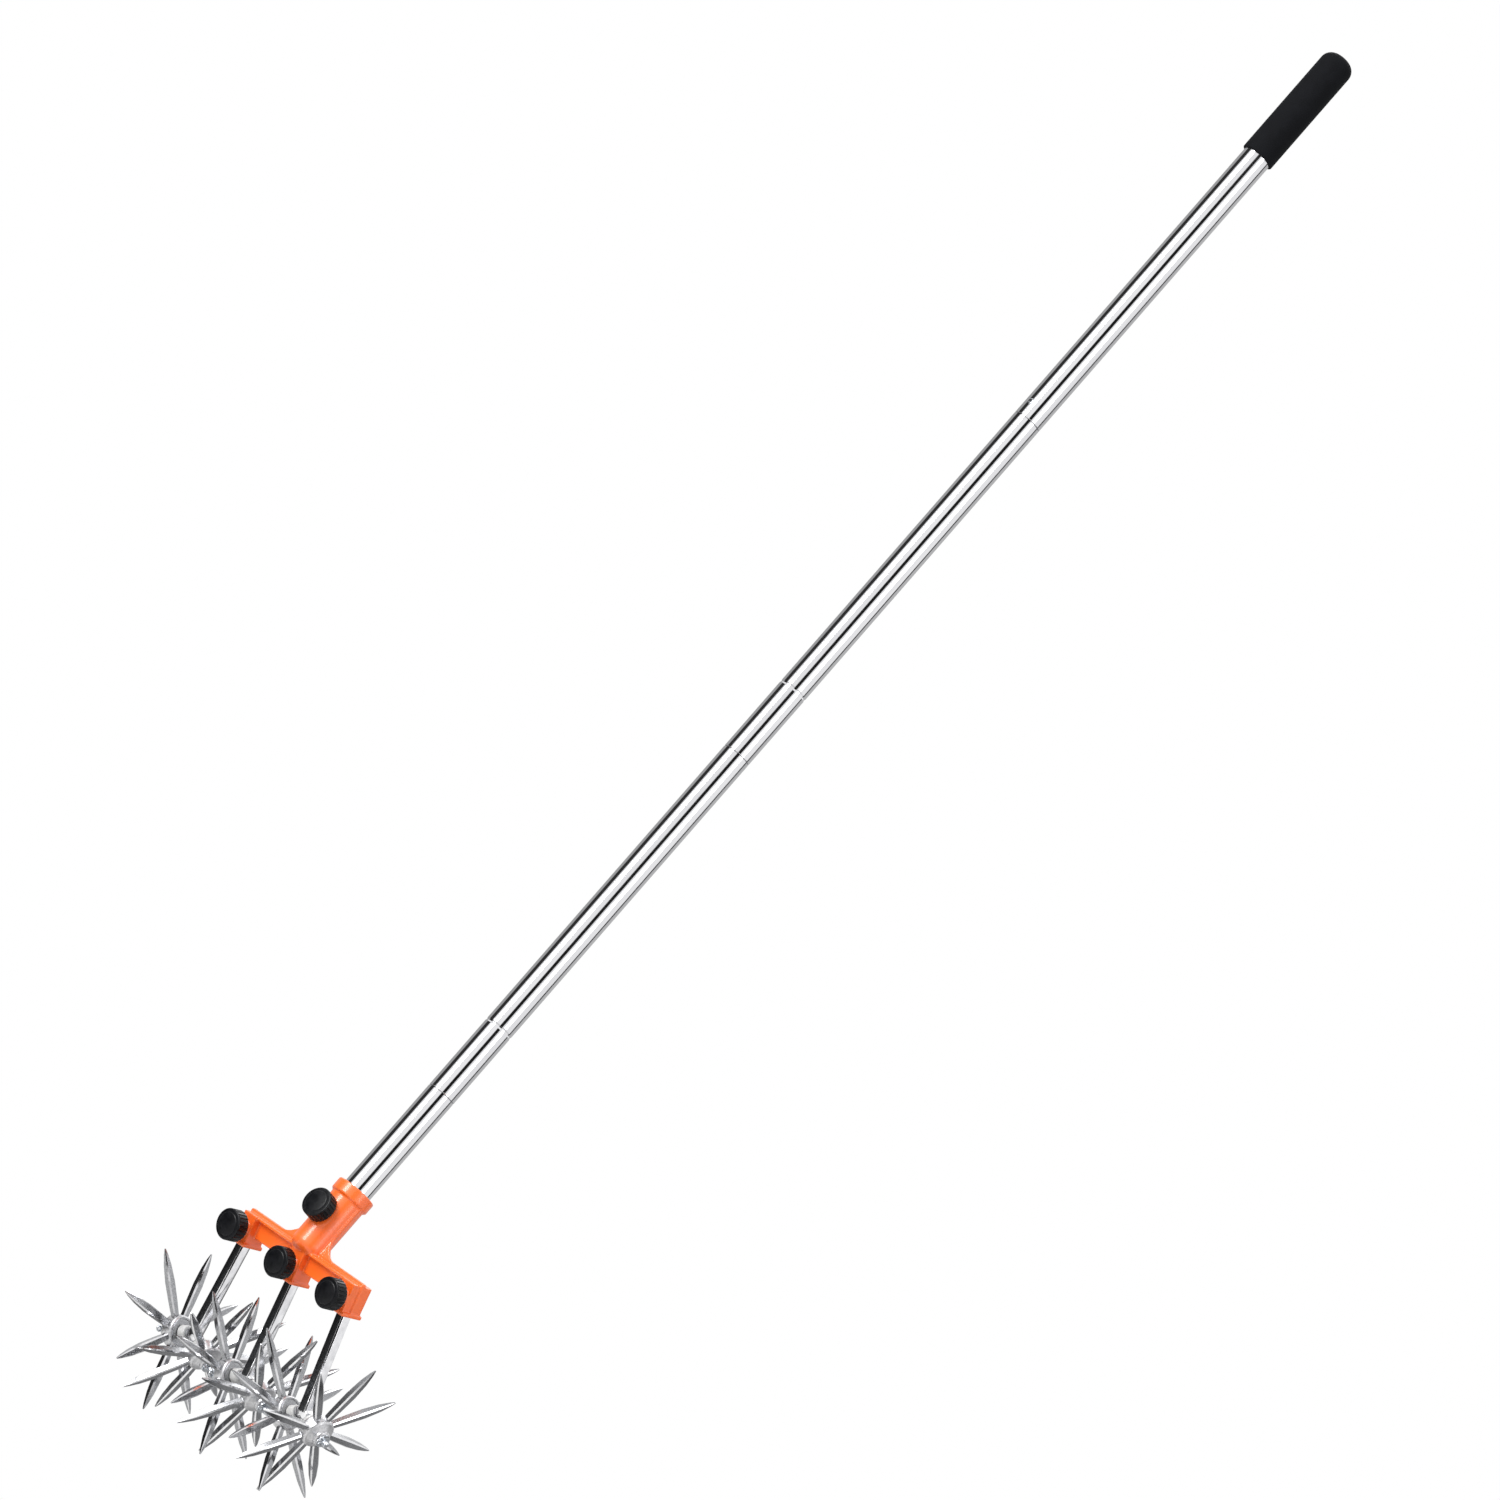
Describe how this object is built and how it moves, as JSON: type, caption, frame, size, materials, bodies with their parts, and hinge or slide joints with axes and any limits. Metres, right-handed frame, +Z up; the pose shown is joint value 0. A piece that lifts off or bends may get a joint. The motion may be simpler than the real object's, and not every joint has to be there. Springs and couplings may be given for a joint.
{
  "type": "rotary hand cultivator",
  "caption": "Hand cultivator: a long straight sectional steel pole with a soft grip, a cast clamp head, and rows of rolling star-shaped tine wheels on forked shanks.",
  "frame": {"origin": "on the pole's axis at the lower end of the grip's straight wall", "axes": "+Z up the pole towards the grip's end, +X along the head's bar, -Y to the front, where the clamp knobs face"},
  "size_m": [0.2283, 0.1483, 1.47],
  "materials": {
    "foam_rubber": "matte",
    "polished_steel": "polished",
    "turned_aluminium": "satin",
    "steel_fasteners": "satin",
    "black_plastic": "satin",
    "orange_paint": "gloss",
    "plated_steel": "bright",
    "nylon": "satin",
    "plated_castings": "bright"
  },
  "bodies": {
    "top_section": {"grip": "foam_rubber", "tube_top": "polished_steel", "thread_plug_top": "turned_aluminium", "plug_rivet": "steel_fasteners"},
    "upper_thread": {"thread_insert_upper": "turned_aluminium"},
    "upper_section": {"tube_upper": "polished_steel", "thread_plug_upper": "turned_aluminium"},
    "lower_thread": {"thread_insert_lower": "turned_aluminium"},
    "lower_section": {"tube_lower": "polished_steel", "thread_plug_lower": "turned_aluminium"},
    "stub_thread": {"thread_insert_stub": "turned_aluminium"},
    "stub_section": {"tube_stub": "polished_steel"},
    "pole_end": {"stub_end_plug": "black_plastic"},
    "head": {"head_casting": "orange_paint"},
    "screw_left": {"clamp_screw_left": "steel_fasteners"},
    "knob_left": {"clamp_knob_left": "black_plastic"},
    "screw_middle": {"clamp_screw_middle": "steel_fasteners"},
    "knob_middle": {"clamp_knob_middle": "black_plastic"},
    "screw_right": {"clamp_screw_right": "steel_fasteners"},
    "knob_right": {"clamp_knob_right": "black_plastic"},
    "screw_pole": {"clamp_screw_pole": "steel_fasteners"},
    "knob_pole": {"clamp_knob_pole": "black_plastic"},
    "shank_left": {"shank_left": "plated_steel", "axle_pin_1": "steel_fasteners", "spacer_1": "nylon", "washer_1": "steel_fasteners", "split_pin_1": "steel_fasteners", "axle_pin_2": "steel_fasteners", "spacer_2": "nylon", "washer_2": "steel_fasteners", "split_pin_2": "steel_fasteners"},
    "shank_middle": {"shank_middle": "plated_steel", "axle_pin_3": "steel_fasteners", "spacer_3": "nylon", "washer_3": "steel_fasteners", "split_pin_3": "steel_fasteners", "axle_pin_4": "steel_fasteners", "spacer_4": "nylon", "washer_4": "steel_fasteners", "split_pin_4": "steel_fasteners"},
    "shank_right": {"shank_right": "plated_steel", "axle_pin_5": "steel_fasteners", "spacer_5": "nylon", "washer_5": "steel_fasteners", "split_pin_5": "steel_fasteners", "axle_pin_6": "steel_fasteners", "spacer_6": "nylon", "washer_6": "steel_fasteners", "split_pin_6": "steel_fasteners"},
    "wheel_1": {"star_wheel_1": "plated_castings"},
    "wheel_2": {"star_wheel_2": "plated_castings"},
    "wheel_3": {"star_wheel_3": "plated_castings"},
    "wheel_4": {"star_wheel_4": "plated_castings"},
    "wheel_5": {"star_wheel_5": "plated_castings"},
    "wheel_6": {"star_wheel_6": "plated_castings"}
  },
  "joints": [
    {"name": "upper_travel", "type": "slide", "parent": "top_section", "child": "upper_thread", "axis": [0, 0, -1], "range_m": [0, 0.02]},
    {"name": "upper_turn", "type": "hinge", "parent": "upper_thread", "child": "upper_section", "pos_m": [0, 0, -0.2935], "axis": [0, 0, -1], "range_deg": [0, 2880]},
    {"name": "lower_travel", "type": "slide", "parent": "upper_section", "child": "lower_thread", "axis": [0, 0, -1], "range_m": [0, 0.02]},
    {"name": "lower_turn", "type": "hinge", "parent": "lower_thread", "child": "lower_section", "pos_m": [0, 0, -0.6575], "axis": [0, 0, -1], "range_deg": [0, 2880]},
    {"name": "stub_travel", "type": "slide", "parent": "lower_section", "child": "stub_thread", "axis": [0, 0, -1], "range_m": [0, 0.02]},
    {"name": "stub_turn", "type": "hinge", "parent": "stub_thread", "child": "stub_section", "pos_m": [0, 0, -1.0215], "axis": [0, 0, -1], "range_deg": [0, 2880]},
    {"name": "head_turn", "type": "hinge", "parent": "stub_section", "child": "pole_end", "pos_m": [0, 0, -1.1245], "axis": [0, 0, -1], "continuous": true},
    {"name": "head_slide", "type": "slide", "parent": "pole_end", "child": "head", "axis": [0, 0, -1], "range_m": [0, 0.017]},
    {"name": "screw_left_travel", "type": "slide", "parent": "head", "child": "screw_left", "axis": [0, -0.9157, -0.4019], "range_m": [0, 0.004]},
    {"name": "knob_left_turn", "type": "hinge", "parent": "screw_left", "child": "knob_left", "pos_m": [-0.064, -0.00933, -1.204], "axis": [0, -0.9157, -0.4019], "range_deg": [0, 1440]},
    {"name": "screw_middle_travel", "type": "slide", "parent": "head", "child": "screw_middle", "axis": [0, -0.9157, -0.4019], "range_m": [0, 0.004]},
    {"name": "knob_middle_turn", "type": "hinge", "parent": "screw_middle", "child": "knob_middle", "pos_m": [0, -0.00819, -1.20661], "axis": [0, -0.9157, -0.4019], "range_deg": [0, 1440]},
    {"name": "screw_right_travel", "type": "slide", "parent": "head", "child": "screw_right", "axis": [0, -0.9157, -0.4019], "range_m": [0, 0.004]},
    {"name": "knob_right_turn", "type": "hinge", "parent": "screw_right", "child": "knob_right", "pos_m": [0.064, -0.00933, -1.204], "axis": [0, -0.9157, -0.4019], "range_deg": [0, 1440]},
    {"name": "screw_pole_travel", "type": "slide", "parent": "head", "child": "screw_pole", "axis": [0, -1, 0], "range_m": [0, 0.004]},
    {"name": "knob_pole_turn", "type": "hinge", "parent": "screw_pole", "child": "knob_pole", "pos_m": [0, -0.0172, -1.1545], "axis": [0, -1, 0], "range_deg": [0, 1440]},
    {"name": "shank_left_slide", "type": "slide", "parent": "head", "child": "shank_left", "axis": [-0.0767, 0.4008, -0.913], "range_m": [0, 0.004]},
    {"name": "shank_middle_slide", "type": "slide", "parent": "head", "child": "shank_middle", "axis": [0, 0.4019, -0.9157], "range_m": [0, 0.004]},
    {"name": "shank_right_slide", "type": "slide", "parent": "head", "child": "shank_right", "axis": [0.0767, 0.4008, -0.913], "range_m": [0, 0.004]},
    {"name": "wheel_1_roll", "type": "hinge", "parent": "shank_left", "child": "wheel_1", "pos_m": [-0.09069, 0.04834, -1.29221], "axis": [0.9421, -0.1348, 0.3072], "continuous": true},
    {"name": "wheel_2_roll", "type": "hinge", "parent": "shank_left", "child": "wheel_2", "pos_m": [-0.05353, 0.04949, -1.29483], "axis": [0.8796, 0.1912, -0.4355], "continuous": true},
    {"name": "wheel_3_roll", "type": "hinge", "parent": "shank_middle", "child": "wheel_3", "pos_m": [-0.01864, 0.05018, -1.29642], "axis": [0.9135, -0.1635, 0.3724], "continuous": true},
    {"name": "wheel_4_roll", "type": "hinge", "parent": "shank_middle", "child": "wheel_4", "pos_m": [0.01864, 0.05018, -1.29642], "axis": [0.9135, 0.1635, -0.3724], "continuous": true},
    {"name": "wheel_5_roll", "type": "hinge", "parent": "shank_right", "child": "wheel_5", "pos_m": [0.05353, 0.04949, -1.29483], "axis": [0.8796, -0.1912, 0.4355], "continuous": true},
    {"name": "wheel_6_roll", "type": "hinge", "parent": "shank_right", "child": "wheel_6", "pos_m": [0.09069, 0.04834, -1.29221], "axis": [0.9421, 0.1348, -0.3072], "continuous": true}
  ],
  "couplings": [
    {"joint": "upper_travel", "follows": "upper_turn", "m_per_rad": 0.00039789},
    {"joint": "lower_travel", "follows": "lower_turn", "m_per_rad": 0.00039789},
    {"joint": "stub_travel", "follows": "stub_turn", "m_per_rad": 0.00039789},
    {"joint": "screw_left_travel", "follows": "knob_left_turn", "m_per_rad": 0.00015915},
    {"joint": "screw_middle_travel", "follows": "knob_middle_turn", "m_per_rad": 0.00015915},
    {"joint": "screw_right_travel", "follows": "knob_right_turn", "m_per_rad": 0.00015915},
    {"joint": "screw_pole_travel", "follows": "knob_pole_turn", "m_per_rad": 0.00015915},
    {"joint": "wheel_2_roll", "follows": "wheel_1_roll", "ratio": 1},
    {"joint": "wheel_3_roll", "follows": "wheel_1_roll", "ratio": 1},
    {"joint": "wheel_4_roll", "follows": "wheel_1_roll", "ratio": 1},
    {"joint": "wheel_5_roll", "follows": "wheel_1_roll", "ratio": 1},
    {"joint": "wheel_6_roll", "follows": "wheel_1_roll", "ratio": 1}
  ]
}
